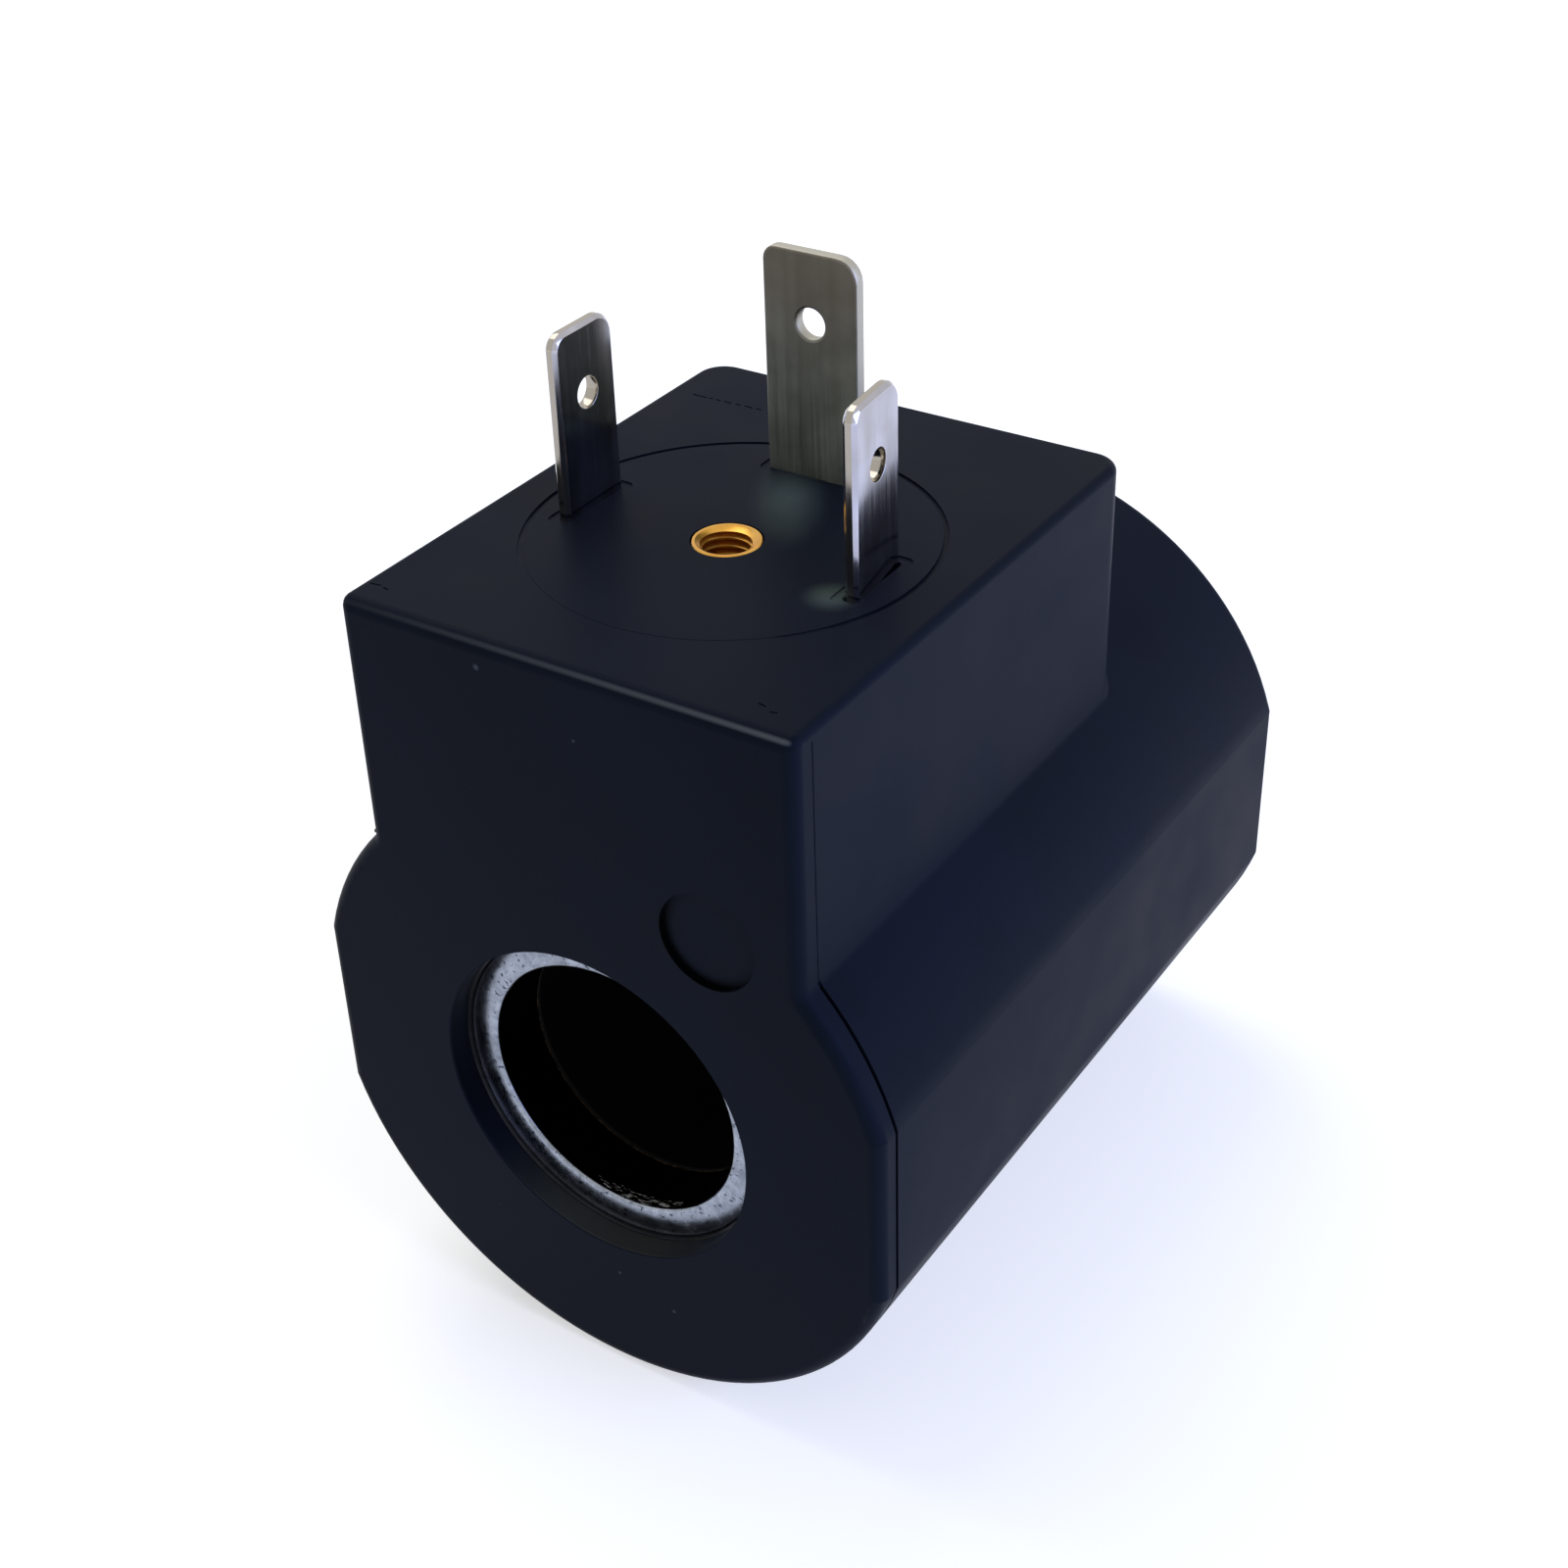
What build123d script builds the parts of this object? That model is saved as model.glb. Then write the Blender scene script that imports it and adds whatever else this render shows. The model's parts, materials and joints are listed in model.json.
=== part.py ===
from build123d import *

import os

os.makedirs("parts", exist_ok=True)

# Encapsulated solenoid coil of a hydraulic valve, in millimetres.
# The origin is on the bore axis, half way along the body. The bore runs along Y with the
# connector end face towards -Y, the contact blades point to +Z and +X is to the right.

# Moulded body
body_length = 49.3
body_diameter = 38.6
body_width = 37.0
block_width = 28.0
block_depth = 34.7
seat_height = 28.3
block_corner_radius = 1.8
junction_radius = 0.8
end_edge_radius = 0.8
seat_edge_radius = 0.5
end_wall = 1.5

# Witness marks of the mould
parting_setback = 1.5
parting_width = 0.25
parting_depth = 0.25
seat_mark_diameter = 23.0
seat_mark_offset = 0.6
seat_mark_width = 0.3
seat_mark_depth = 0.12
stamp_diameter = 5.8
stamp_depth = 0.3
stamp_x = 8.4
stamp_height = 14.7

# Bore, its mouth and the flux rings
bore_diameter = 16.1
mouth_diameter = 20.1
mouth_edge_break = 0.1
ring_diameter = 19.9
ring_setback = 0.2
ring_edge_break = 0.2

# Magnetic circuit
plate_thickness = 4.0
plate_edge_break = 0.3
yoke_diameter = 32.6
yoke_wall = 2.0
window_width = 13.0
window_length = 17.0
seam_width = 0.3
fit_gap = 0.05

# Bobbin and winding
bobbin_wall = 1.2
flange_thickness = 1.3
bobbin_bore_gap = 0.02
bobbin_mouth_break = 0.2
winding_build = 3.9
wrap_thickness = 0.35

# Connector
contact_spacing = 18.0
connector_setback = 15.3
blade_thickness = 0.8
blade_edge_break = 0.2
power_blade_width = 5.0
power_blade_height = 10.5
power_hole_height = 6.6
earth_blade_width = 5.9
earth_blade_height = 13.0
earth_hole_height = 9.0
blade_corner = 1.1
blade_hole_diameter = 1.8
blade_pocket_margin = 0.5
blade_pocket_depth = 0.35

# Threaded insert for the plug's fixing screw
insert_diameter = 4.0
insert_floor = 1.0
insert_groove_diameter = 3.5
insert_groove_width = 1.0
insert_knurl_diameter = 4.6
insert_lip = 0.8
screw_core_diameter = 2.5
screw_mouth_diameter = 3.2

# Terminal carrier, tags and leads
carrier_rise = 1.5
carrier_thickness = 2.5
carrier_margin = 1.6
pedestal_gap = 0.2
pedestal_front_gap = 7.0
tag_width = 2.0
tag_length = 2.5
lead_diameter = 0.5
lead_bend_radius = 0.8
sleeve_diameter = 1.0
lead_rise_x = 4.0
lead_lift = 1.4
finish_lead_setback = 2.2
solder_radius = 1.15
foot_length = 6.5
foot_seat_drop = 0.3
foot_bend_radius = 1.0
rivet_diameter = 2.2
rivet_head_diameter = 4.0
rivet_head_height = 0.8
rivet_bevel = 0.35
rivet_depth = 1.4

# Places that follow from the sizes
front = -body_length / 2
rear = body_length / 2
bore_radius = bore_diameter / 2
body_radius = body_diameter / 2
yoke_radius = yoke_diameter / 2
yoke_inner_radius = yoke_radius - yoke_wall
plate_face = front + end_wall
plate_back = plate_face + plate_thickness
coil_space = body_length - 2 * (end_wall + plate_thickness)
ring_length = plate_thickness - ring_setback
bobbin_bore_radius = bore_radius + bobbin_bore_gap
bobbin_tube_radius = bobbin_bore_radius + bobbin_wall
flange_radius = yoke_inner_radius - fit_gap
winding_radius = bobbin_tube_radius + winding_build
wrap_radius = winding_radius + wrap_thickness
winding_front = plate_back + flange_thickness
winding_length = coil_space - 2 * flange_thickness
connector_y = front + connector_setback
contact_offset = contact_spacing / 2
carrier_bottom = yoke_radius + carrier_rise
carrier_top = carrier_bottom + carrier_thickness
insert_length = seat_height - carrier_top
screw_hole_depth = insert_length - insert_floor
tag_bottom = carrier_bottom - tag_length
lead_height = tag_bottom + lead_lift
foot_bottom = yoke_radius - foot_seat_drop
earth_y = connector_y + contact_offset
rivet_y = earth_y + foot_length - rivet_head_diameter / 2
tag_y = connector_y - power_blade_width / 4
tag_front = tag_y - tag_width / 2
pedestal_front = plate_back + pedestal_front_gap
window_rear = plate_back + window_length
start_lead_y = winding_front - sleeve_diameter / 2
finish_lead_y = winding_front + finish_lead_setback


def section_at(y):
    """The plane across the bore at y, with X to the right and Z up."""
    return Plane.XZ.offset(-y)


def round_section(radius, half_width):
    """A disc with a flat on each side."""
    Circle(radius)
    Rectangle(2 * half_width, 2 * radius, mode=Mode.INTERSECT)


def ring_profile(inner, outer, start, length):
    """Half section of a ring about the bore axis, drawn in the YZ plane."""
    with Locations((start + length / 2, (inner + outer) / 2)):
        Rectangle(length, outer - inner)


def save(piece, name):
    """Label a finished piece and write it."""
    piece.part.label = name
    export_step(piece.part, f"parts/{name}.step")


# Bobbin: a tube with two flanges, and a slot for the start lead in the front flange
with BuildPart() as bobbin:
    with BuildSketch(Plane.YZ):
        ring_profile(bobbin_bore_radius, bobbin_tube_radius, plate_back, coil_space)
        ring_profile(bobbin_bore_radius, flange_radius, plate_back, flange_thickness)
        ring_profile(bobbin_bore_radius, flange_radius, -winding_front, flange_thickness)
    revolve(axis=Axis.Y)
    mouths = bobbin.edges().filter_by(GeomType.CIRCLE).group_by(SortBy.RADIUS)[0]
    chamfer(mouths, bobbin_mouth_break)
    with BuildSketch(Plane.XY.offset(flange_radius)):
        with Locations((lead_rise_x, start_lead_y)):
            Rectangle(sleeve_diameter, sleeve_diameter)
    extrude(amount=-(flange_radius - bobbin_tube_radius), mode=Mode.SUBTRACT)
save(bobbin, "bobbin")

# Winding: the copper wire, taken as one ring that fills the bobbin
with BuildPart() as winding:
    with BuildSketch(Plane.YZ):
        ring_profile(bobbin_tube_radius, winding_radius, winding_front, winding_length)
    revolve(axis=Axis.Y)
save(winding, "winding")


def lead_path(side, y, start_height):
    """The route of one lead: up from the winding, then level to its tag."""
    return [
        (side * lead_rise_x, y, start_height),
        (side * lead_rise_x, y, lead_height),
        (side * contact_offset, tag_front - lead_diameter / 2, lead_height),
    ]


def lead_solid(points):
    """A round wire along the points, with a bend of the lead's own radius."""
    with BuildPart() as wire:
        with BuildLine() as route:
            FilletPolyline(*points, radius=lead_bend_radius)
        with BuildSketch(Plane(points[0], z_dir=(0, 0, 1))):
            Circle(lead_diameter / 2)
        sweep(path=route.line)
    return wire.part


# Start lead, from the first layer, and finish lead, from the last layer
with BuildPart() as start_lead:
    add(lead_solid(lead_path(1, start_lead_y, bobbin_tube_radius)))
save(start_lead, "start_lead")

with BuildPart() as finish_lead:
    add(lead_solid(lead_path(-1, finish_lead_y, bobbin_tube_radius)))
    add(winding.part, mode=Mode.SUBTRACT)
save(finish_lead, "finish_lead")


def sleeve_solid(side, y, bottom, lead):
    """Insulating sleeve round the rising stretch of a lead."""
    with BuildPart() as sleeve:
        with BuildSketch(Plane.XY.offset(bottom)):
            with Locations((side * lead_rise_x, y)):
                Circle(sleeve_diameter / 2)
        extrude(amount=lead_height - lead_bend_radius - bottom)
        add(lead, mode=Mode.SUBTRACT)
    return sleeve.part


with BuildPart() as start_lead_sleeve:
    add(sleeve_solid(1, start_lead_y, bobbin_tube_radius, start_lead.part))
save(start_lead_sleeve, "start_lead_sleeve")

with BuildPart() as finish_lead_sleeve:
    add(sleeve_solid(-1, finish_lead_y, wrap_radius, finish_lead.part))
save(finish_lead_sleeve, "finish_lead_sleeve")

# Wrap: insulating tape round the winding, with a hole for the finish lead
with BuildPart() as winding_wrap:
    with BuildSketch(Plane.YZ):
        ring_profile(winding_radius, wrap_radius, winding_front, winding_length)
    revolve(axis=Axis.Y)
    add(finish_lead.part, mode=Mode.SUBTRACT)
    add(finish_lead_sleeve.part, mode=Mode.SUBTRACT)
save(winding_wrap, "winding_wrap")

# Jacket: the first shot of plastic, level with the flanges of the bobbin
with BuildPart() as winding_jacket:
    with BuildSketch(Plane.YZ):
        ring_profile(wrap_radius, flange_radius, winding_front, winding_length)
    revolve(axis=Axis.Y)
    add(finish_lead.part, mode=Mode.SUBTRACT)
    add(finish_lead_sleeve.part, mode=Mode.SUBTRACT)
save(winding_jacket, "winding_jacket")


def pole_plate(face_y):
    """A round steel plate that closes one end of the yoke and carries a flux ring."""
    with BuildPart() as plate:
        with BuildSketch(Plane.YZ):
            ring_profile(ring_diameter / 2, yoke_inner_radius, face_y, plate_thickness)
        revolve(axis=Axis.Y)
        rims = plate.edges().filter_by(GeomType.CIRCLE).group_by(SortBy.RADIUS)[-1]
        chamfer(rims, plate_edge_break)
    return plate.part


def flux_ring(outer_y, inner_y):
    """A flat steel ring with both rims of its outer end broken, bored for the armature tube."""
    with BuildPart() as ring:
        with BuildSketch(Plane.YZ):
            ring_profile(bore_radius, ring_diameter / 2, min(outer_y, inner_y), ring_length)
        revolve(axis=Axis.Y)
        outer_end = ring.faces().filter_by(Axis.Y).sort_by_distance((0, outer_y, 0))[0]
        chamfer(outer_end.edges(), ring_edge_break)
    return ring.part


with BuildPart() as front_pole_plate:
    add(pole_plate(plate_face))
save(front_pole_plate, "front_pole_plate")

with BuildPart() as rear_pole_plate:
    add(pole_plate(-plate_back))
save(rear_pole_plate, "rear_pole_plate")

with BuildPart() as front_flux_ring:
    add(flux_ring(plate_face + ring_setback, plate_back))
save(front_flux_ring, "front_flux_ring")

with BuildPart() as rear_flux_ring:
    add(flux_ring(-plate_face - ring_setback, -plate_back))
save(rear_flux_ring, "rear_flux_ring")

# Yoke: rolled steel tube with its seam underneath, a window for the terminal carrier,
# and a flat with a blind hole that seats the foot of the earth blade
with BuildPart() as yoke:
    with BuildSketch(Plane.YZ):
        ring_profile(yoke_inner_radius, yoke_radius, plate_face, body_length - 2 * end_wall)
    revolve(axis=Axis.Y)
    with BuildSketch(Plane.XY):
        with Locations((0, plate_back + window_length / 2)):
            Rectangle(window_width, window_length)
    extrude(amount=yoke_radius, mode=Mode.SUBTRACT)
    with BuildSketch(Plane.XY):
        Rectangle(seam_width, body_length)
    extrude(amount=-yoke_radius, mode=Mode.SUBTRACT)
    with BuildSketch(Plane.XY.offset(foot_bottom)):
        with Locations((0, (window_rear + earth_y + foot_length + fit_gap) / 2)):
            Rectangle(yoke_diameter, earth_y + foot_length + fit_gap - window_rear)
    extrude(amount=foot_seat_drop, mode=Mode.SUBTRACT)
    with Locations((0, rivet_y, foot_bottom)):
        Hole(rivet_diameter / 2, depth=rivet_depth)
save(yoke, "yoke")


def power_blade(side):
    """A flat contact across X, with a narrow tag below for the lead."""
    x = side * contact_offset
    top = seat_height + power_blade_height
    with BuildPart() as blade:
        with BuildSketch(Plane.YZ.offset(x)):
            with Locations((connector_y, (carrier_bottom + top) / 2)):
                Rectangle(power_blade_width, top - carrier_bottom)
            with Locations((tag_y, (tag_bottom + carrier_bottom) / 2)):
                Rectangle(tag_width, tag_length)
            with Locations((connector_y, seat_height + power_hole_height)):
                Circle(blade_hole_diameter / 2, mode=Mode.SUBTRACT)
        extrude(amount=blade_thickness / 2, both=True)
        tips = blade.edges().filter_by(Axis.X).group_by(Axis.Z)[-1]
        fillet(tips, blade_corner)
        rims = blade.edges().filter_by(Axis.Z).group_by(Edge.length)[-1]
        chamfer(rims, blade_edge_break)
    return blade.part


with BuildPart() as left_power_blade:
    add(power_blade(-1))
save(left_power_blade, "left_power_blade")

with BuildPart() as right_power_blade:
    add(power_blade(1))
save(right_power_blade, "right_power_blade")

# Earth blade: longer than the others and bent into a foot that is riveted to the yoke
with BuildPart() as earth_blade:
    top = seat_height + earth_blade_height
    near = earth_y - blade_thickness / 2
    far = earth_y + foot_length
    with BuildSketch(Plane.YZ) as blade_side:
        with BuildLine():
            Polyline(
                (near, foot_bottom),
                (far, foot_bottom),
                (far, foot_bottom + blade_thickness),
                (near + blade_thickness, foot_bottom + blade_thickness),
                (near + blade_thickness, top),
                (near, top),
                close=True,
            )
        make_face()
        outer_corner = blade_side.vertices().group_by(Axis.Y)[0].sort_by(Axis.X)[0]
        fillet(outer_corner, foot_bend_radius)
    extrude(amount=earth_blade_width / 2, both=True)
    tips = earth_blade.edges().filter_by(Axis.Y).group_by(Axis.Z)[-1]
    fillet(tips, blade_corner)
    front_rims = earth_blade.faces().sort_by(Axis.Y)[0].edges().filter_by(Axis.Z)
    rear_rims = earth_blade.faces().filter_by(Axis.Y).sort_by(Axis.Y)[1].edges().filter_by(Axis.Z)
    chamfer(front_rims + rear_rims, blade_edge_break)
    with Locations(Location((0, earth_y, seat_height + earth_hole_height), (90, 0, 0))):
        Hole(blade_hole_diameter / 2)
    with Locations((0, rivet_y, foot_bottom + blade_thickness)):
        Hole(rivet_diameter / 2, depth=blade_thickness)
save(earth_blade, "earth_blade")

# Rivet: flat head with a bevelled rim on the foot, shank driven into the yoke
with BuildPart() as earth_rivet:
    with BuildSketch(Plane.XY.offset(foot_bottom - rivet_depth)):
        with Locations((0, rivet_y)):
            Circle(rivet_diameter / 2)
    extrude(amount=rivet_depth + blade_thickness)
    with BuildSketch(Plane.XY.offset(foot_bottom + blade_thickness)):
        with Locations((0, rivet_y)):
            Circle(rivet_head_diameter / 2)
    extrude(amount=rivet_head_height)
    crown = earth_rivet.edges().filter_by(GeomType.CIRCLE).sort_by(Axis.Z)[-1]
    chamfer(crown, rivet_bevel)
save(earth_rivet, "earth_rivet")


def solder_joint(side, blade, lead):
    """A drop of solder round a tag and the end of its lead."""
    with BuildPart() as drop:
        with Locations((side * contact_offset, tag_front, lead_height)):
            Sphere(solder_radius)
        with Locations((side * contact_offset, tag_y, carrier_bottom)):
            Box(block_width, block_width, block_width, align=(Align.CENTER, Align.CENTER, Align.MIN),
                mode=Mode.SUBTRACT)
        add(blade, mode=Mode.SUBTRACT)
        add(lead, mode=Mode.SUBTRACT)
    return drop.part


with BuildPart() as left_solder_joint:
    add(solder_joint(-1, left_power_blade.part, finish_lead.part))
save(left_solder_joint, "left_solder_joint")

with BuildPart() as right_solder_joint:
    add(solder_joint(1, right_power_blade.part, start_lead.part))
save(right_solder_joint, "right_solder_joint")

# Terminal carrier: a slab that holds the three blades, on a pedestal through the window
with BuildPart() as terminal_carrier:
    slab_front = connector_y - power_blade_width / 2 - carrier_margin
    slab_rear = earth_y + blade_thickness / 2 + carrier_margin
    slab_width = contact_spacing + blade_thickness + 2 * carrier_margin
    with BuildSketch(Plane.XY.offset(carrier_bottom)):
        with Locations((0, (slab_front + slab_rear) / 2)):
            RectangleRounded(slab_width, slab_rear - slab_front, carrier_margin)
    extrude(amount=carrier_thickness)
    pedestal_rear = window_rear - pedestal_gap
    with BuildSketch(Plane.XY.offset(carrier_bottom)):
        with Locations((0, (pedestal_front + pedestal_rear) / 2)):
            Rectangle(window_width - 2 * pedestal_gap, pedestal_rear - pedestal_front)
    extrude(amount=-(carrier_bottom - wrap_radius))
    with BuildSketch(section_at(plate_back)):
        Circle(flange_radius)
    extrude(amount=-coil_space, mode=Mode.SUBTRACT)
    for blade in (left_power_blade, right_power_blade, earth_blade):
        add(blade.part, mode=Mode.SUBTRACT)
save(terminal_carrier, "terminal_carrier")

# Threaded insert: brass, from the carrier up to the seat, blind, its thread taken at the
# core diameter
with BuildPart() as threaded_insert:
    with BuildSketch(Plane.XY.offset(seat_height)):
        with Locations((0, connector_y)):
            Circle(insert_diameter / 2)
    extrude(amount=-insert_lip)
    groove_spots = [insert_lip, (insert_length - insert_groove_width) / 2 + insert_lip / 2]
    with BuildSketch(Plane.XY.offset(seat_height - insert_lip)):
        with Locations((0, connector_y)):
            Circle(insert_knurl_diameter / 2)
    extrude(amount=-(insert_length - insert_lip))
    for spot in groove_spots:
        with BuildSketch(Plane.XY.offset(seat_height - spot)):
            with Locations((0, connector_y)):
                Circle(insert_knurl_diameter)
                Circle(insert_groove_diameter / 2, mode=Mode.SUBTRACT)
        extrude(amount=-insert_groove_width, mode=Mode.SUBTRACT)
    with BuildSketch(Plane.XY.offset(seat_height)):
        with Locations((0, connector_y)):
            Circle(screw_core_diameter / 2)
    extrude(amount=-screw_hole_depth, mode=Mode.SUBTRACT)
    mouth = threaded_insert.faces().sort_by(Axis.Z)[-1].edges().sort_by(SortBy.RADIUS)[0]
    chamfer(mouth, (screw_mouth_diameter - screw_core_diameter) / 2)
save(threaded_insert, "threaded_insert")

# Casing: one moulding over everything, a round body with side flats and a square
# connector block, open only at the two bore mouths and round the contacts
with BuildPart() as casing:
    with BuildSketch(section_at(front)):
        round_section(body_radius, body_width / 2)
    extrude(amount=-body_length)

    # Connector block, with rounded rear corners, blended into the body
    with BuildSketch(Plane.XY) as block_plan:
        with Locations((0, front + block_depth / 2)):
            Rectangle(block_width, block_depth)
        fillet(block_plan.vertices().group_by(Axis.Y)[-1], block_corner_radius)
    extrude(amount=seat_height)
    junction = casing.edges(Select.NEW).filter_by(lambda edge: edge.center().Y > front)
    fillet(junction, junction_radius)

    # Rounded rims of the seat and of the two end faces
    seat_face = casing.faces().sort_by(Axis.Z)[-1]
    fillet(seat_face.edges().sort_by(Axis.Y)[1:], seat_edge_radius)
    front_face = casing.faces().filter_by(Axis.Y).sort_by(Axis.Y)[0]
    fillet(front_face.edges(), end_edge_radius)
    rear_face = casing.faces().filter_by(Axis.Y).sort_by(Axis.Y)[-1]
    fillet(rear_face.edges(), end_edge_radius)

    # Parting line of the end plate of the mould, round the body but not over the block
    with BuildSketch(section_at(front + parting_setback)):
        round_section(body_radius + parting_width, body_width / 2 + parting_width)
        with BuildSketch(section_at(front + parting_setback), mode=Mode.PRIVATE) as core:
            round_section(body_radius - parting_depth, body_width / 2 - parting_depth)
        add(core.sketch, mode=Mode.SUBTRACT)
        with Locations((0, seat_height / 2)):
            Rectangle(block_width, seat_height, mode=Mode.SUBTRACT)
    extrude(amount=-parting_width, mode=Mode.SUBTRACT)

    # Round stamp recess, left bare
    with BuildSketch(section_at(front)):
        with Locations((stamp_x, stamp_height)):
            Circle(stamp_diameter / 2)
    extrude(amount=-stamp_depth, mode=Mode.SUBTRACT)

    # Witness circle of the mould core on the connector seat
    with BuildSketch(Plane.XY.offset(seat_height)):
        with Locations((0, connector_y + seat_mark_offset)):
            Circle(seat_mark_diameter / 2)
            Circle(seat_mark_diameter / 2 - seat_mark_width, mode=Mode.SUBTRACT)
    extrude(amount=-seat_mark_depth, mode=Mode.SUBTRACT)

    # Bore mouths
    with BuildSketch(section_at(front)):
        Circle(mouth_diameter / 2)
    extrude(amount=-body_length, mode=Mode.SUBTRACT)
    chamfer(casing.edges(Select.LAST).filter_by(GeomType.CIRCLE), mouth_edge_break)

    # Space for the magnetic circuit
    with BuildSketch(section_at(plate_face)):
        Circle(yoke_radius)
    extrude(amount=-(body_length - 2 * end_wall), mode=Mode.SUBTRACT)

    # Shallow pockets round the contacts
    pocket_across = blade_thickness + 2 * blade_pocket_margin
    power_pocket = power_blade_width + 2 * blade_pocket_margin
    earth_pocket = earth_blade_width + 2 * blade_pocket_margin
    with BuildSketch(Plane.XY.offset(seat_height)):
        with Locations((-contact_offset, connector_y), (contact_offset, connector_y)):
            RectangleRounded(pocket_across, power_pocket, blade_pocket_margin)
        with Locations((0, earth_y)):
            RectangleRounded(earth_pocket, pocket_across, blade_pocket_margin)
    extrude(amount=-blade_pocket_depth, mode=Mode.SUBTRACT)

    # Space for the threaded insert, its hole included
    with BuildSketch(Plane.XY.offset(seat_height)):
        with Locations((0, connector_y)):
            Circle(insert_groove_diameter / 2)
    extrude(amount=-insert_length, mode=Mode.SUBTRACT)

    for piece in (
        terminal_carrier,
        left_power_blade,
        right_power_blade,
        earth_blade,
        earth_rivet,
        threaded_insert,
        start_lead,
        finish_lead,
        start_lead_sleeve,
        finish_lead_sleeve,
        left_solder_joint,
        right_solder_joint,
    ):
        add(piece.part, mode=Mode.SUBTRACT)
save(casing, "casing")
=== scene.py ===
# %% [markdown]
# # Dressing a solenoid coil
#
# The model is the encapsulated coil of a hydraulic valve: a black moulding round a
# steel and copper core, with three contact blades and a brass insert on top. The packed
# model gives every piece at its real size. This lesson keeps the pieces whose shape is
# already right, models again the ones that need turned, stamped or threaded detail, and
# gives each of them the finish that its real material has.

# %% Load the frame
import json
from math import cos, pi, radians, sin, tan

import bmesh
import bpy
from mathutils import Matrix, Vector


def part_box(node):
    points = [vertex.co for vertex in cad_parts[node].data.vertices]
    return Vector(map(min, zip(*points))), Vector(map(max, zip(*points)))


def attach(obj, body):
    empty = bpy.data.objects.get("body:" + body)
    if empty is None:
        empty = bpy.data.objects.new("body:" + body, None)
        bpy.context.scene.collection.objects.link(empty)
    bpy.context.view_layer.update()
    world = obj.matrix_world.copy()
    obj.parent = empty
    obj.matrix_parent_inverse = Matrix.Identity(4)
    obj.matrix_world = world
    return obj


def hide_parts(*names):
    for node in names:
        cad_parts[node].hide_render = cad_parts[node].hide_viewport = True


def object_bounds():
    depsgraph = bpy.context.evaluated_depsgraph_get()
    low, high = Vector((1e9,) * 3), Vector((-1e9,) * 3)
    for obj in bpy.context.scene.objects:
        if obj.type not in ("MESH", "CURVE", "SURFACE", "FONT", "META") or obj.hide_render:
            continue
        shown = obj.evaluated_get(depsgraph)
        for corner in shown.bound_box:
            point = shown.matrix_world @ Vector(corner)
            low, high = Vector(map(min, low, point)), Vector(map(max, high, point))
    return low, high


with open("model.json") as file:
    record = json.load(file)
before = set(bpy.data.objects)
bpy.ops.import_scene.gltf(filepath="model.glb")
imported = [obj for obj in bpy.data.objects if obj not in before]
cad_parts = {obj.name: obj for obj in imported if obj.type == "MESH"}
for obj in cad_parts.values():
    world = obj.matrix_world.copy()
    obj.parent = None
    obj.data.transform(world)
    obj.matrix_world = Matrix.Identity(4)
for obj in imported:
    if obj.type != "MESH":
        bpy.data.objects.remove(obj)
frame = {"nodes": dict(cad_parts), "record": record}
nodes = frame["nodes"]
cad_low, cad_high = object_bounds()
print("CAD box in mm:", [round(x * 1000, 2) for x in (*cad_low, *cad_high)])

# %% [markdown]
# ## Places taken from the frame
#
# Lengths in this lesson are written in millimetres times `mm`. The places of the pieces
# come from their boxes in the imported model, so that a new piece lands where the old one
# was. A few features lie inside a piece's box: the bore, the recess in its mouth, the
# round stamp in the front face, the sides of the connector block and the parting line.
# Their sizes are named here.

# %% Measure the frame
mm = 0.001
casing_low, casing_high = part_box("casing")
ring_low, ring_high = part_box("front_flux_ring")
insert_low, insert_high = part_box("threaded_insert")
seat = casing_high.z
bore_radius = 8.05 * mm
recess_radius = 10.05 * mm
stamp_x, stamp_z, stamp_radius = 8.4 * mm, 14.7 * mm, 2.9 * mm
block_side = 14 * mm
parting_y = -23.15 * mm
insert_centre = (insert_low + insert_high) / 2
tiny = 0.01 * mm
merge_distance = 0.0005 * mm
print("seat height in mm:", round(seat / mm, 2))

# %% [markdown]
# ## The camera
#
# The photograph looks down on the connector end from the right. The eye point, the
# target and the small roll were found by fitting the corners of the body, the rim of
# the bore and the blades, and the lens by how fast the body narrows towards its far end.

# %% Place the camera
eye = Vector((65.64, -102.2, 87.44)) * mm
target = Vector((-4.12, 1.4, 5.27)) * mm
camera_roll = radians(-1.95)
bpy.ops.object.select_all(action="DESELECT")
bpy.ops.object.camera_add(location=eye)
camera = bpy.context.object
camera.name = "photo_camera"
aim = (target - eye).to_track_quat("-Z", "Y")
camera.rotation_mode = "QUATERNION"
camera.rotation_quaternion = aim @ Matrix.Rotation(camera_roll, 4, "Z").to_quaternion()
camera.data.sensor_width = 36.0
camera.data.lens = 55.13
camera.data.clip_start = 1 * mm
camera.data.clip_end = 10.0
camera.data.dof.use_dof = False
bpy.context.scene.camera = camera
bpy.context.scene.view_settings.view_transform = "Standard"

# %% [markdown]
# ## How a piece is shaped
#
# A new piece starts as a primitive at its own size and place. Its place and turn then go
# into the mesh, so that the object itself stays at the origin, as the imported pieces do.
# Faces and edges are picked in code by where they are, the way a hand would click on
# them, and a cutter takes out holes. Pressed and turned metal has no knife edges, so the
# last step breaks the edges and keeps the flats flat to the eye.

# %% Pick, cut and finish
def settle(name):
    """Names the new primitive and puts its place and turn into its mesh."""
    piece = bpy.context.object
    piece.name = name
    bpy.ops.object.transform_apply(location=True, rotation=True, scale=True)
    return piece


def block(name, low, high):
    """A cube stretched to fill the box from low to high."""
    bpy.ops.object.select_all(action="DESELECT")
    bpy.ops.mesh.primitive_cube_add(size=1.0, location=(low + high) / 2)
    bpy.context.object.scale = high - low
    return settle(name)


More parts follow.
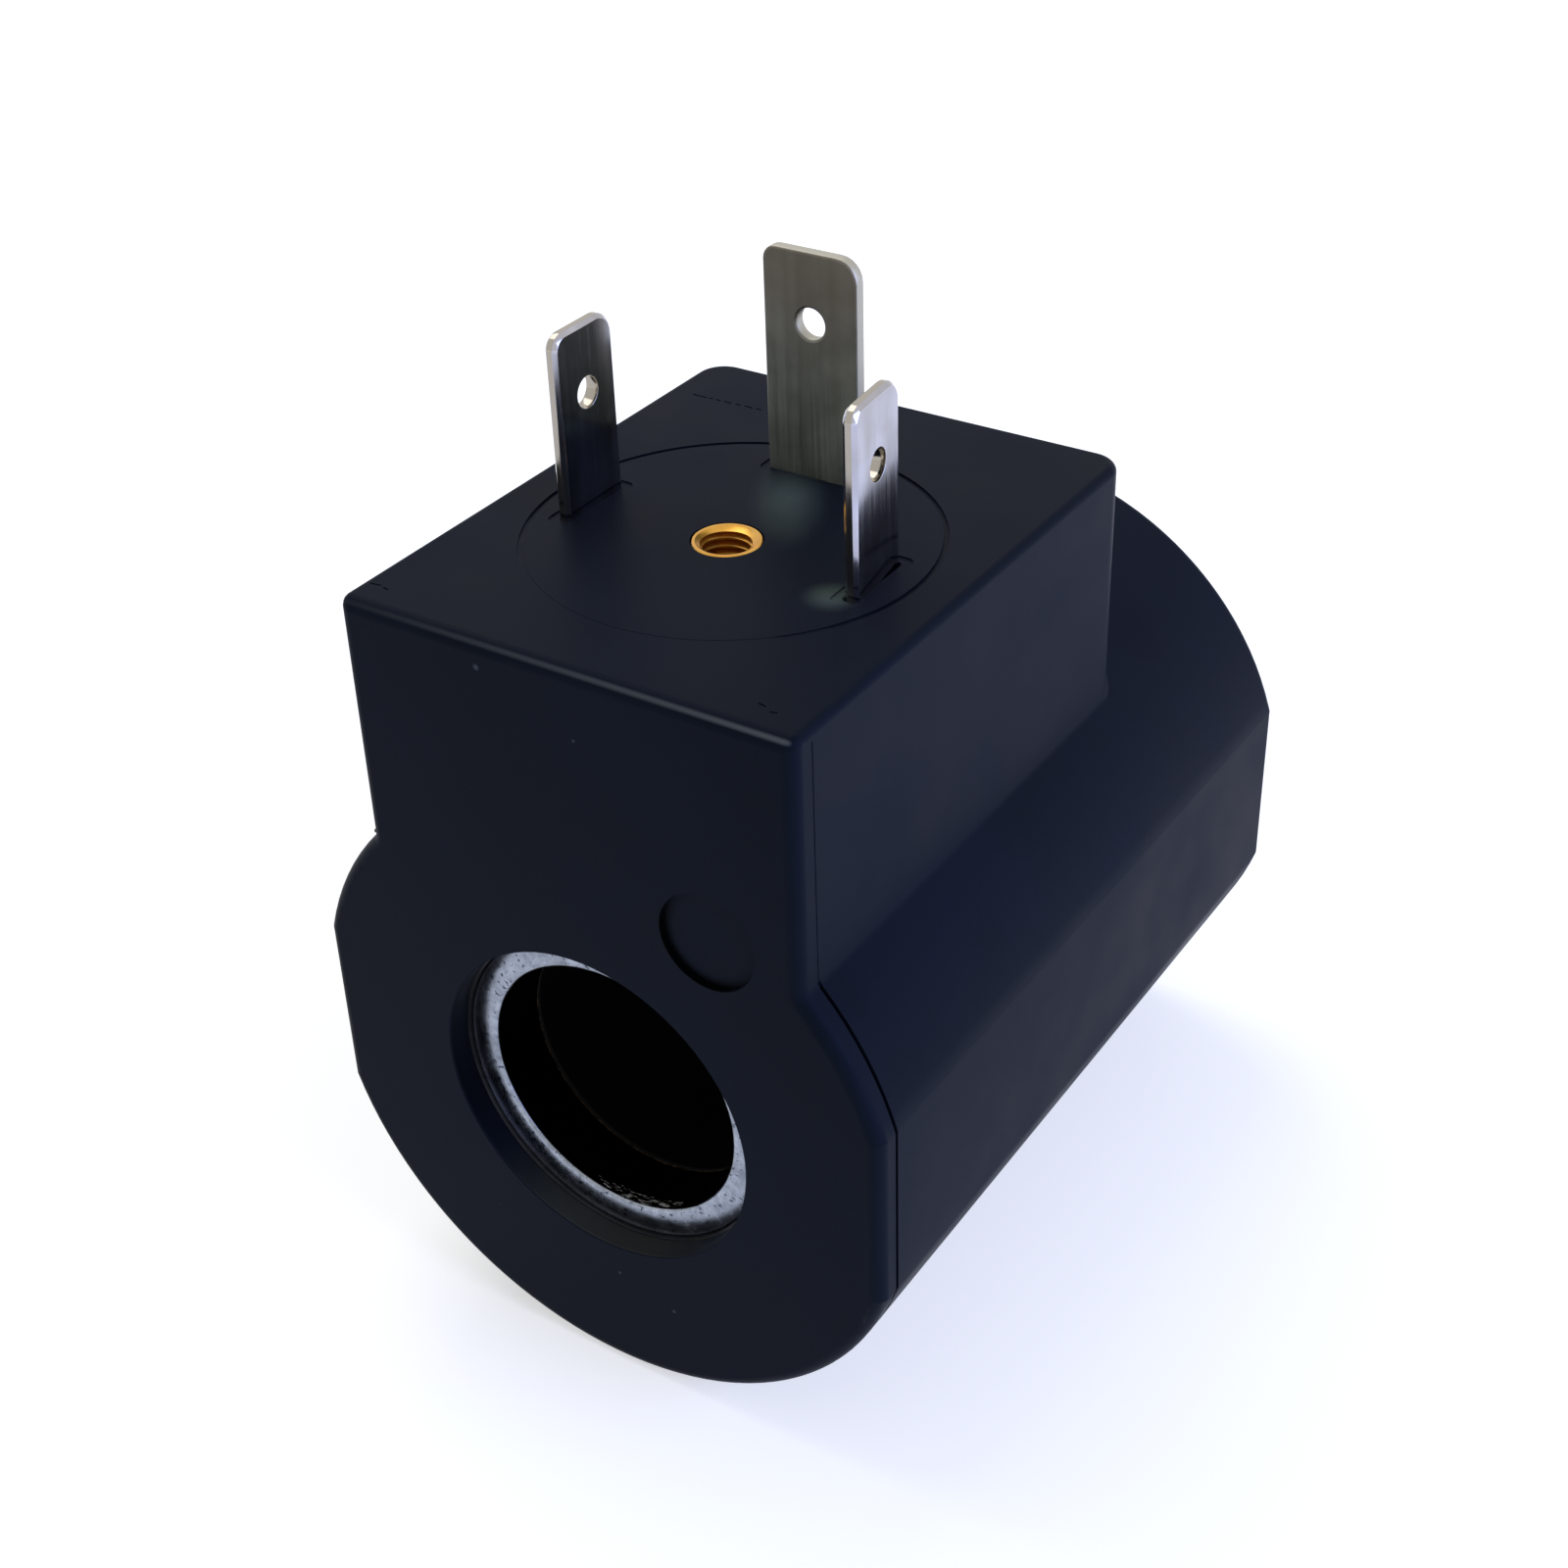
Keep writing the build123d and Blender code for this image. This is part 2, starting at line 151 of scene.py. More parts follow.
def pick(piece, kind, test):
    """Selects, in edit mode, the vertices, edges or faces whose middle passes the test."""
    bpy.ops.mesh.select_mode(type=kind)
    bpy.ops.mesh.select_all(action="DESELECT")
    shape = bmesh.from_edit_mesh(piece.data)
    parts = {"VERT": shape.verts, "EDGE": shape.edges, "FACE": shape.faces}[kind]
    found = 0
    for part in parts:
        corners = [part.co] if kind == "VERT" else [corner.co for corner in part.verts]
        if test(sum(corners, Vector()) / len(corners)):
            part.select_set(True)
            found += 1
    bmesh.update_edit_mesh(piece.data)
    return found


def make_active(piece):
    """Selects one piece alone."""
    bpy.ops.object.select_all(action="DESELECT")
    piece.select_set(True)
    bpy.context.view_layer.objects.active = piece


def cut(piece, cutter):
    """Takes the cutter out of the piece."""
    make_active(piece)
    modifier = piece.modifiers.new("cut", "BOOLEAN")
    modifier.operation = "DIFFERENCE"
    modifier.solver = "EXACT"
    modifier.object = cutter
    bpy.ops.object.modifier_apply(modifier="cut")
    bpy.data.objects.remove(cutter)


def break_edges(piece, width, steps, steepest=35):
    """Rounds every edge sharper than the angle and keeps the flats flat to the eye."""
    make_active(piece)
    rounding = piece.modifiers.new("edges", "BEVEL")
    rounding.width = width
    rounding.segments = steps
    rounding.limit_method = "ANGLE"
    rounding.angle_limit = radians(steepest)
    bpy.ops.object.modifier_apply(modifier="edges")
    bpy.ops.object.shade_smooth()
    piece.modifiers.new("flats", "WEIGHTED_NORMAL")
    bpy.ops.object.modifier_apply(modifier="flats")


def dress(piece, finish):
    """Gives a finished piece its material and prints its size in millimetres."""
    piece.data.materials.clear()
    piece.data.materials.append(finish)
    size = [round(side / mm, 2) for side in piece.dimensions]
    print(piece.name, "size in mm:", size, "faces:", len(piece.data.polygons))


# %% [markdown]
# ## A lathe made of circles
#
# The flux rings and the insert are turned on a lathe. The same is done here with edges:
# a circle is drawn out from point to point of the half section, and stretched at each
# point to its radius. Where the half section comes back to its first point, the doubled
# vertices are merged and the skin is closed.

# %% Turn a piece
def turned(name, centre, axis, half_section, sides):
    """A turned piece; the half section is a list of (radius, place along the axis)."""
    along = Vector((0, 0, 1)) if axis == "Z" else Vector((0, 1, 0))
    lying = (0, 0, 0) if axis == "Z" else (pi / 2, 0, 0)
    radius, place = half_section[0]
    bpy.ops.object.select_all(action="DESELECT")
    bpy.ops.mesh.primitive_circle_add(vertices=sides, radius=radius, fill_type="NOTHING",
                                      location=centre + along * place, rotation=lying)
    piece = settle(name)
    bpy.ops.object.mode_set(mode="EDIT")
    bpy.ops.mesh.select_all(action="SELECT")
    for next_radius, next_place in half_section[1:]:
        bpy.ops.mesh.extrude_edges_move(
            TRANSFORM_OT_translate={"value": along * (next_place - place)})
        ratio = next_radius / radius
        stretch = (ratio, ratio, 1) if axis == "Z" else (ratio, 1, ratio)
        bpy.ops.transform.resize(value=stretch, center_override=centre + along * next_place)
        radius, place = next_radius, next_place
    bpy.ops.mesh.select_all(action="SELECT")
    bpy.ops.mesh.remove_doubles(threshold=merge_distance)
    bpy.ops.mesh.normals_make_consistent(inside=False)
    bpy.ops.object.mode_set(mode="OBJECT")
    return piece


# %% [markdown]
# ## Helpers for shader nodes
#
# A material is a small network of nodes. One function adds a node, sets its options and
# fills its sockets with values or with what other nodes give. Where a node is given, its
# first output in use is meant. A second function turns the sRGB hex value of a colour, as
# a colour picker gives it, into the linear numbers that the renderer works with. Two more
# open and close a material.

# %% Add a node
def linear(hex_colour):
    """Linear RGBA of an sRGB colour written as "#rrggbb"."""
    parts = [int(hex_colour[i : i + 2], 16) / 255 for i in (1, 3, 5)]
    return [p / 12.92 if p <= 0.04045 else ((p + 0.055) / 1.055) ** 2.4 for p in parts] + [1.0]


def add_node(tree, kind, sockets=None, **options):
    """Adds a node; sockets gives each input a value, an output or a node's first output."""
    made = tree.nodes.new(kind)
    for name, value in options.items():
        setattr(made, name, value)
    for name, value in (sockets or {}).items():
        if isinstance(value, bpy.types.Node):
            value = next(output for output in value.outputs if output.enabled)
        if isinstance(value, bpy.types.NodeSocket):
            tree.links.new(value, made.inputs[name])
        else:
            made.inputs[name].default_value = value
    return made


def start_material(name):
    """A new material, its empty network and the object coordinates in metres."""
    material = bpy.data.materials.new(name)
    material.use_nodes = True
    material.node_tree.nodes.clear()
    place = add_node(material.node_tree, "ShaderNodeTexCoord").outputs["Object"]
    return material, material.node_tree, place


def end_material(tree, surface):
    """Joins the shader to the output."""
    add_node(tree, "ShaderNodeOutputMaterial", {"Surface": surface})


# %% [markdown]
# ## The casing: black glass-filled nylon
#
# The casing is moulded in polyamide 6.6 with about a third of glass fibre, dyed black.
# Such a moulding is satin: the skin is smooth, but the fibres just under it and the
# spark-eroded mould leave a fine grain that blurs reflections. The cool cast of the
# black comes with the dye. Handling leaves large soft patches that are a little more
# or a little less glossy, and a few pale fibre ends show as specks.

# %% Material of the casing
def spot_near(tree, place, centre, full, none):
    """1 within the distance full of a point, fading to 0 at the distance none."""
    away = add_node(tree, "ShaderNodeVectorMath", {0: place, 1: tuple(centre)},
                    operation="DISTANCE")
    return add_node(tree, "ShaderNodeMapRange", {"Value": away, "From Min": full,
                    "From Max": none, "To Min": 1.0, "To Max": 0.0},
                    interpolation_type="SMOOTHSTEP")


def radius_from(tree, place, x, z):
    """Distance from the line along Y through the point x, z."""
    shifted = add_node(tree, "ShaderNodeVectorMath", {0: place, 1: (x, 0, z)},
                       operation="SUBTRACT")
    flat = add_node(tree, "ShaderNodeVectorMath", {0: shifted, 1: (1.0, 0.0, 1.0)},
                    operation="MULTIPLY")
    return add_node(tree, "ShaderNodeVectorMath", {0: flat}, operation="LENGTH")


def glass_filled_nylon():
    """The moulded casing: the clean plastic, its dirt, a painted highlight on the front edge
    and painted light thrown by the blades.
    """
    material, tree, place = start_material("glass_filled_nylon_moulded")
    # The grain of the mould is about 0.12 mm, drawn at twice that so that it shows.
    grain = add_node(tree, "ShaderNodeTexNoise", {"Vector": place, "Scale": 1 / (0.25 * mm),
                     "Detail": 3.0, "Roughness": 0.6})
    # Patches of handling and of the flow of the melt are about 9 mm across.
    patch = add_node(tree, "ShaderNodeTexNoise", {"Vector": place, "Scale": 1 / (9 * mm),
                     "Detail": 4.0, "Roughness": 0.55})
    speck = add_node(tree, "ShaderNodeTexVoronoi", {"Vector": place, "Scale": 1 / (5.5 * mm)})
    is_speck = add_node(tree, "ShaderNodeMapRange", {"Value": speck, "From Min": 0.012,
                        "From Max": 0.022, "To Min": 1.0, "To Max": 0.0})
    black = add_node(tree, "ShaderNodeMix", {"Factor": patch, "A": linear("#0f131b"),
                     "B": linear("#161c28")}, data_type="RGBA")
    # Painted light: a pale olive grey light that the blades throw onto the seat, painted in
    # front of the earth blade and at the foot of the right blade. The first is a slanted
    # streak, so it is a round spot in coordinates of its own, turned by 32 degrees and longer
    # than wide.
    streak = add_node(tree, "ShaderNodeMapping", {"Vector": place,
                      "Location": (0.4 * mm, -3.9 * mm, seat), "Rotation": (0, 0, radians(32)),
                      "Scale": (1.0, 2.4, 1.0)}, vector_type="TEXTURE")
    blade_light_spots = [spot_near(tree, streak, (0, 0, 0), 0.1 * mm, 2.5 * mm),
             spot_near(tree, place, (8.1 * mm, -11.9 * mm, seat), 0.2 * mm, 1.8 * mm)]
    film_and_thrown_light = add_node(tree, "ShaderNodeMath", {0: blade_light_spots[0], 1: blade_light_spots[1]}, operation="MAXIMUM")
    film_and_thrown_light = add_node(tree, "ShaderNodeMath", {0: film_and_thrown_light, 1: patch}, operation="MULTIPLY")
    with_blade_light = add_node(tree, "ShaderNodeMix", {"Factor": film_and_thrown_light, "A": black,
                     "B": linear("#58655f")}, data_type="RGBA")
    # Olive dirt has settled low in the recess round the bore.
    in_recess = add_node(tree, "ShaderNodeMapRange", {"Value": radius_from(tree, place, 0, 0),
                         "From Min": recess_radius + 0.01 * mm,
                         "From Max": recess_radius + 0.07 * mm, "To Min": 0.6, "To Max": 0.0})
    low_side = spot_near(tree, place, (-0.5 * mm, casing_low.y, -10 * mm), 2 * mm, 8.5 * mm)
    olive = add_node(tree, "ShaderNodeMath", {0: in_recess, 1: patch}, operation="MULTIPLY")
    olive = add_node(tree, "ShaderNodeMath", {0: olive, 1: low_side}, operation="MULTIPLY")
    dirty = add_node(tree, "ShaderNodeMix", {"Factor": olive, "A": with_blade_light,
                     "B": linear("#62645a")}, data_type="RGBA")
    # The colour is darker in the left and lower corner of the stamp recess and on the left wall
    # of the recess round the bore.
    from_stamp = radius_from(tree, place, stamp_x, stamp_z)
    in_corner = add_node(tree, "ShaderNodeMapRange", {"Value": from_stamp,
                         "From Min": stamp_radius - 0.7 * mm,
                         "From Max": stamp_radius - 0.2 * mm})
    in_stamp = add_node(tree, "ShaderNodeMath", {0: from_stamp, 1: stamp_radius + 0.05 * mm},
                        operation="LESS_THAN")
    low_left = spot_near(tree, place, (stamp_x - 1.4 * mm, casing_low.y, stamp_z - 1.5 * mm),
                         2.2 * mm, 4.2 * mm)
    stamp_corner_dark = add_node(tree, "ShaderNodeMath", {0: in_corner, 1: in_stamp},
                          operation="MULTIPLY")
    stamp_corner_dark = add_node(tree, "ShaderNodeMath", {0: stamp_corner_dark, 1: low_left},
                          operation="MULTIPLY")
    left_wall = spot_near(tree, place, (-9.5 * mm, casing_low.y, 2 * mm), 5 * mm, 10 * mm)
    left_wall_dark = add_node(tree, "ShaderNodeMath", {0: in_recess, 1: left_wall},
                         operation="MULTIPLY")
    dark_places = add_node(tree, "ShaderNodeMath", {0: stamp_corner_dark, 1: left_wall_dark},
                          operation="MAXIMUM")
    darkened = add_node(tree, "ShaderNodeMix", {"Factor": dark_places, "A": dirty,
                       "B": linear("#040506")}, data_type="RGBA")
    # A highlight is painted along the front edge of the seat, brighter towards the right.
    across = add_node(tree, "ShaderNodeVectorMath", {0: place, 1: (0.0, 1.0, 1.0)},
                      operation="MULTIPLY")
    edge = spot_near(tree, across, (0, casing_low.y + 0.15 * mm, seat - 0.12 * mm),
                     0.06 * mm, 0.28 * mm)
    place_x = add_node(tree, "ShaderNodeSeparateXYZ", {0: place}).outputs["X"]
    to_right = add_node(tree, "ShaderNodeMapRange", {"Value": place_x, "From Min": -block_side,
                        "From Max": 13 * mm, "To Min": 0.1, "To Max": 0.9})
    wear_and_highlight = add_node(tree, "ShaderNodeMath", {0: edge, 1: to_right}, operation="MULTIPLY")
    edge_highlighted = add_node(tree, "ShaderNodeMix", {"Factor": wear_and_highlight, "A": darkened,
                    "B": linear("#6a6e72")}, data_type="RGBA")
    # Two chips in the front face and the fibre ends are pale.
    chips = [spot_near(tree, place, (-4.9 * mm, casing_low.y, 26.8 * mm), 0.05 * mm, 0.25 * mm),
             spot_near(tree, place, (4.6 * mm, casing_low.y, -13.2 * mm), 0.04 * mm, 0.18 * mm)]
    chip = add_node(tree, "ShaderNodeMath", {0: chips[0], 1: chips[1]}, operation="MAXIMUM")
    pale = add_node(tree, "ShaderNodeMath", {0: chip, 1: is_speck}, operation="MAXIMUM")
    colour = add_node(tree, "ShaderNodeMix", {"Factor": pale, "A": edge_highlighted,
                      "B": linear("#3f4550")}, data_type="RGBA")
    gloss = add_node(tree, "ShaderNodeMapRange", {"Value": patch, "From Min": 0.3,
                     "From Max": 0.7, "To Min": 0.36, "To Max": 0.5})
    bump = add_node(tree, "ShaderNodeBump", {"Height": grain, "Strength": 0.25,
                    "Distance": 0.006 * mm})
    shader = add_node(tree, "ShaderNodeBsdfPrincipled", {"Base Color": colour,
                      "Roughness": gloss, "IOR": 1.53, "Specular IOR Level": 0.025,
                      "Specular Tint": linear("#c3ccff"), "Normal": bump})
    end_material(tree, shader)
    return material


def bobbin_nylon():
    """The bobbin, its jacket and the terminal carrier, from a plain mould."""
    material, tree, place = start_material("bobbin_nylon_moulded")
    # The grain of a milled mould is about 0.3 mm.
    grain = add_node(tree, "ShaderNodeTexNoise", {"Vector": place, "Scale": 1 / (0.3 * mm),
                     "Detail": 2.0})
    bump = add_node(tree, "ShaderNodeBump", {"Height": grain, "Strength": 0.2,
                    "Distance": 0.005 * mm})
    gloss = add_node(tree, "ShaderNodeMapRange", {"Value": grain, "To Min": 0.4,
                     "To Max": 0.55})
    shader = add_node(tree, "ShaderNodeBsdfPrincipled", {"Base Color": linear("#0c0b0b"),
                      "Roughness": gloss, "IOR": 1.53, "Specular IOR Level": 0.05,
                      "Normal": bump})
    end_material(tree, shader)
    return material


# %% [markdown]
# ## Steel, zinc, tin, brass and copper
#
# The flux rings are turned from free-cutting steel and zinc plated: a cool, slightly
# blue white with the rings of the tool still in it and a mottled passivation film on top.
# The blades are stamped from brass strip that was tinned before it was stamped, so the
# rolling marks run along them. The insert is turned from bare brass.

# %% Materials of the metal pieces
def zinc_plated_steel():
    """The flux rings and the rivet: plated outside; in the bore, painted shade, an oil line and
    scratches.
    """
    material, tree, place = start_material("zinc_plated_turned_steel")
    radius = radius_from(tree, place, 0, 0)
    # Feed of the turning tool, 0.08 mm a turn.
    turns = add_node(tree, "ShaderNodeMath", {0: radius, 1: 2 * pi / (0.08 * mm)},
                     operation="MULTIPLY")
    line = add_node(tree, "ShaderNodeMath", {0: turns}, operation="SINE")
    # The passivation film is mottled in patches of about 0.9 mm, with pits of 0.3 mm.
    film_and_thrown_light = add_node(tree, "ShaderNodeTexNoise", {"Vector": place, "Scale": 1 / (0.9 * mm),
                    "Detail": 8.0, "Roughness": 0.75})
    pits = add_node(tree, "ShaderNodeTexNoise", {"Vector": place, "Scale": 1 / (0.3 * mm),
                    "Detail": 2.0})
    is_pit = add_node(tree, "ShaderNodeMapRange", {"Value": pits, "From Min": 0.62,
                      "From Max": 0.68})
    mottle = add_node(tree, "ShaderNodeMapRange", {"Value": film_and_thrown_light, "From Min": 0.3,
                      "From Max": 0.7})
    zinc = add_node(tree, "ShaderNodeMix", {"Factor": mottle, "A": linear("#646a74"),
                    "B": linear("#aab1bd")}, data_type="RGBA")
    pitted = add_node(tree, "ShaderNodeMix", {"Factor": is_pit, "A": zinc,
                      "B": linear("#3c4350")}, data_type="RGBA")
    # Inside the bore the steel is painted near black: painted shade of the deep bore.
    in_bore = add_node(tree, "ShaderNodeMapRange", {"Value": radius,
                       "From Min": bore_radius + 0.01 * mm, "From Max": bore_radius + 0.05 * mm,
                       "To Min": 1.0, "To Max": 0.0})
    # Bright scratches of about 0.1 mm lie low in the bore just behind its edge, where the
    # tube is pushed in. They run round the bore, so the noise is squeezed along Y.
    squeeze = 8.0
    squeezed = add_node(tree, "ShaderNodeMapping", {"Vector": place,
                        "Scale": (1.0, squeeze, 1.0)})
    scratch = add_node(tree, "ShaderNodeTexNoise", {"Vector": squeezed, "Scale": 1 / (0.8 * mm),
                       "Detail": 3.0, "Roughness": 0.7})
    low_place = (1.2 * mm, squeeze * (ring_low.y + 0.55 * mm), -bore_radius)
    low_edge = spot_near(tree, squeezed, low_place, 2.4 * mm, 6.5 * mm)
    scratched = add_node(tree, "ShaderNodeMath", {0: scratch, 1: low_edge},
                         operation="MULTIPLY")
    is_scratch = add_node(tree, "ShaderNodeMapRange", {"Value": scratched, "From Min": 0.54,
                          "From Max": 0.58})
    # Dried oil leaves a broken brown line at the joint with the bobbin.
    joint = add_node(tree, "ShaderNodeVectorMath", {0: place, 1: (0.0, 1.0, 0.0)},
                     operation="MULTIPLY")
    at_joint = spot_near(tree, joint, (0.0, ring_high.y, 0.0), 0.02 * mm, 0.16 * mm)
    oily = add_node(tree, "ShaderNodeMath", {0: at_joint, 1: mottle}, operation="MULTIPLY")
    bore_shade_and_oil = add_node(tree, "ShaderNodeMix", {"Factor": oily, "A": linear("#15110e"),
                       "B": linear("#a08a72")}, data_type="RGBA")
    wall = add_node(tree, "ShaderNodeMix", {"Factor": is_scratch, "A": bore_shade_and_oil,
                    "B": linear("#e8e6e0")}, data_type="RGBA")
    colour = add_node(tree, "ShaderNodeMix", {"Factor": in_bore, "A": pitted, "B": wall},
                      data_type="RGBA")
    gloss = add_node(tree, "ShaderNodeMapRange", {"Value": film_and_thrown_light, "From Min": 0.3,
                     "From Max": 0.7, "To Min": 0.16, "To Max": 0.3})
    height = add_node(tree, "ShaderNodeMath", {0: line, 1: 0.2, 2: film_and_thrown_light},
                      operation="MULTIPLY_ADD")
    bump = add_node(tree, "ShaderNodeBump", {"Height": height, "Strength": 0.25,
                    "Distance": 0.01 * mm})
    # A torn scratch and dried oil throw light every way, so neither is drawn as a mirror.
    covered = add_node(tree, "ShaderNodeMath", {0: is_scratch, 1: oily}, operation="MAXIMUM")
    bare = add_node(tree, "ShaderNodeMath", {0: in_bore, 1: covered}, operation="MULTIPLY")
    metal = add_node(tree, "ShaderNodeMath", {0: 1.0, 1: bare}, operation="SUBTRACT")
    shader = add_node(tree, "ShaderNodeBsdfPrincipled", {"Base Color": colour,
                      "Metallic": metal, "Roughness": gloss, "Normal": bump})
    end_material(tree, shader)
    return material


def magnet_steel():
    """The yoke and the pole plates, rolled and left bare."""
    material, tree, place = start_material("cold_rolled_magnet_steel")
    # Rolling marks are about 0.15 mm apart and run round the yoke.
    mapped = add_node(tree, "ShaderNodeMapping", {"Vector": place, "Scale": (1.0, 12.0, 1.0)})
    marks = add_node(tree, "ShaderNodeTexNoise", {"Vector": mapped, "Scale": 1 / (1.8 * mm),
                     "Detail": 4.0})
    colour = add_node(tree, "ShaderNodeMix", {"Factor": marks, "A": linear("#3b3b3d"),
                      "B": linear("#5b5b5e")}, data_type="RGBA")
    bump = add_node(tree, "ShaderNodeBump", {"Height": marks, "Strength": 0.3,
                    "Distance": 0.01 * mm})
    shader = add_node(tree, "ShaderNodeBsdfPrincipled", {"Base Color": colour, "Metallic": 1.0,
                      "Roughness": 0.42, "Normal": bump})
    end_material(tree, shader)
    return material


def tinned_brass(name, broad_side, dull, bright, tip, narrow, smooth, rough):
    """Tinned strip; the two faces that look along broad_side are the tinned ones."""
    material, tree, place = start_material(name)
    # Rolling lines are about 0.1 mm apart, drawn at twice that, and long, so the pattern is
    # stretched along Z.
    mapped = add_node(tree, "ShaderNodeMapping", {"Vector": place, "Scale": (1.0, 1.0, 0.03)})
    lines = add_node(tree, "ShaderNodeTexNoise", {"Vector": mapped, "Scale": 1 / (0.2 * mm),
                     "Detail": 2.0, "Roughness": 0.5})
    # The tin is uneven in soft bands of about 1.2 mm and clouds of 2.5 mm.
    bands = add_node(tree, "ShaderNodeTexNoise", {"Vector": mapped, "Scale": 1 / (1.2 * mm),
                     "Detail": 1.0})
    cloud = add_node(tree, "ShaderNodeTexNoise", {"Vector": place, "Scale": 1 / (2.5 * mm),
                     "Detail": 3.0})
    both = add_node(tree, "ShaderNodeMath", {0: bands, 1: cloud}, operation="MULTIPLY")
    uneven = add_node(tree, "ShaderNodeMapRange", {"Value": both, "From Min": 0.14,
                      "From Max": 0.36})
    tin = add_node(tree, "ShaderNodeMix", {"Factor": uneven, "A": linear(dull),
                   "B": linear(bright)}, data_type="RGBA")
    # The tin is thinnest near the tip, where the socket rubs it and it tarnishes.
    height = add_node(tree, "ShaderNodeSeparateXYZ", {0: place}).outputs["Z"]
    near_tip = add_node(tree, "ShaderNodeMapRange", {"Value": height, "From Min": seat + 5 * mm,
                        "From Max": seat + 11 * mm, "To Max": 0.7})
    wear_and_highlight = add_node(tree, "ShaderNodeMix", {"Factor": near_tip, "A": tin, "B": linear(tip)},
                      data_type="RGBA")
    # The press shears the strip, so the brass core shows on the narrow sides.
    facing = add_node(tree, "ShaderNodeNewGeometry").outputs["Normal"]
    along = add_node(tree, "ShaderNodeVectorMath", {0: facing, 1: broad_side},
                     operation="DOT_PRODUCT")
    broad = add_node(tree, "ShaderNodeMath", {0: along}, operation="ABSOLUTE")
    is_edge = add_node(tree, "ShaderNodeMapRange", {"Value": broad, "From Min": 0.2,
                       "From Max": 0.6, "To Min": 0.85, "To Max": 0.0})
    colour = add_node(tree, "ShaderNodeMix", {"Factor": is_edge, "A": wear_and_highlight,
                      "B": linear(narrow)}, data_type="RGBA")
    gloss = add_node(tree, "ShaderNodeMapRange", {"Value": lines, "From Min": 0.3,
                     "From Max": 0.7, "To Min": smooth, "To Max": rough})
    bump = add_node(tree, "ShaderNodeBump", {"Height": lines, "Strength": 0.05,
                    "Distance": 0.006 * mm})
    shader = add_node(tree, "ShaderNodeBsdfPrincipled", {"Base Color": colour, "Metallic": 1.0,
                      "Roughness": gloss, "Normal": bump})
    end_material(tree, shader)
    return material


def turned_brass():
    """The insert, with tarnish in soft patches of about 1.2 mm."""
    material, tree, place = start_material("turned_brass")
    tarnish = add_node(tree, "ShaderNodeTexNoise", {"Vector": place, "Scale": 1 / (1.2 * mm),
                       "Detail": 3.0})
    colour = add_node(tree, "ShaderNodeMix", {"Factor": tarnish, "A": linear("#bd8028"),
                      "B": linear("#e2b258")}, data_type="RGBA")
    shader = add_node(tree, "ShaderNodeBsdfPrincipled", {"Base Color": colour, "Metallic": 1.0,
                      "Roughness": 0.3})
    end_material(tree, shader)
    return material


def enamelled_copper():
    """The winding and the leads under their clear enamel."""
    material, tree, place = start_material("enamelled_copper_wire")
    # Wire 0.4 mm thick, wound side by side along Y. The texture repeats every 2 pi / 20 of
    # its own units.
    turns = add_node(tree, "ShaderNodeTexWave", {"Vector": place,
                     "Scale": 2 * pi / (0.4 * mm) / 20, "Distortion": 0.0}, bands_direction="Y")
    # The colour is darker between the turns than on their tops: painted shade of the grooves.
    colour = add_node(tree, "ShaderNodeMix", {"Factor": turns.outputs["Fac"],
                      "A": linear("#7a3212"), "B": linear("#c4672c")}, data_type="RGBA")
    bump = add_node(tree, "ShaderNodeBump", {"Height": turns.outputs["Fac"], "Strength": 0.8,
                    "Distance": 0.1 * mm})
    shader = add_node(tree, "ShaderNodeBsdfPrincipled", {"Base Color": colour, "Metallic": 1.0,
                      "Roughness": 0.3, "Coat Weight": 0.6, "Coat Roughness": 0.1,
                      "Normal": bump})
    end_material(tree, shader)
    return material


def polyester_tape():
    """The tape round the winding, with the shade of soft creases about 2 mm apart painted in
    its colour.
    """
    material, tree, place = start_material("polyester_tape")
    crease_shade = add_node(tree, "ShaderNodeTexNoise", {"Vector": place, "Scale": 1 / (2 * mm),
                      "Detail": 2.0})
    colour = add_node(tree, "ShaderNodeMix", {"Factor": crease_shade, "A": linear("#c79a1e"),
                      "B": linear("#e3bd45")}, data_type="RGBA")
    shader = add_node(tree, "ShaderNodeBsdfPrincipled", {"Base Color": colour,
                      "Roughness": 0.25, "IOR": 1.64})
    end_material(tree, shader)
    return material


def glass_sleeve():
    """The braided sleeves on the leads."""
    material, tree, place = start_material("braided_glass_sleeve")
    # Braid of about 0.25 mm.
    braid = add_node(tree, "ShaderNodeTexChecker", {"Vector": place, "Scale": 1 / (0.25 * mm),
                     "Color1": linear("#d9d3c0"), "Color2": linear("#b8b19c")})
    shader = add_node(tree, "ShaderNodeBsdfPrincipled", {"Base Color": braid, "Roughness": 0.7,
                      "IOR": 1.5})
    end_material(tree, shader)
    return material


def tin_solder():
    """The solder joints, frosted in patches of about 0.4 mm."""
    material, tree, place = start_material("tin_solder")
    frost = add_node(tree, "ShaderNodeTexNoise", {"Vector": place, "Scale": 1 / (0.4 * mm)})
    gloss = add_node(tree, "ShaderNodeMapRange", {"Value": frost, "To Min": 0.12,
                     "To Max": 0.4})
    shader = add_node(tree, "ShaderNodeBsdfPrincipled", {"Base Color": linear("#c9c9c6"),
                      "Metallic": 1.0, "Roughness": gloss})
    end_material(tree, shader)
    return material


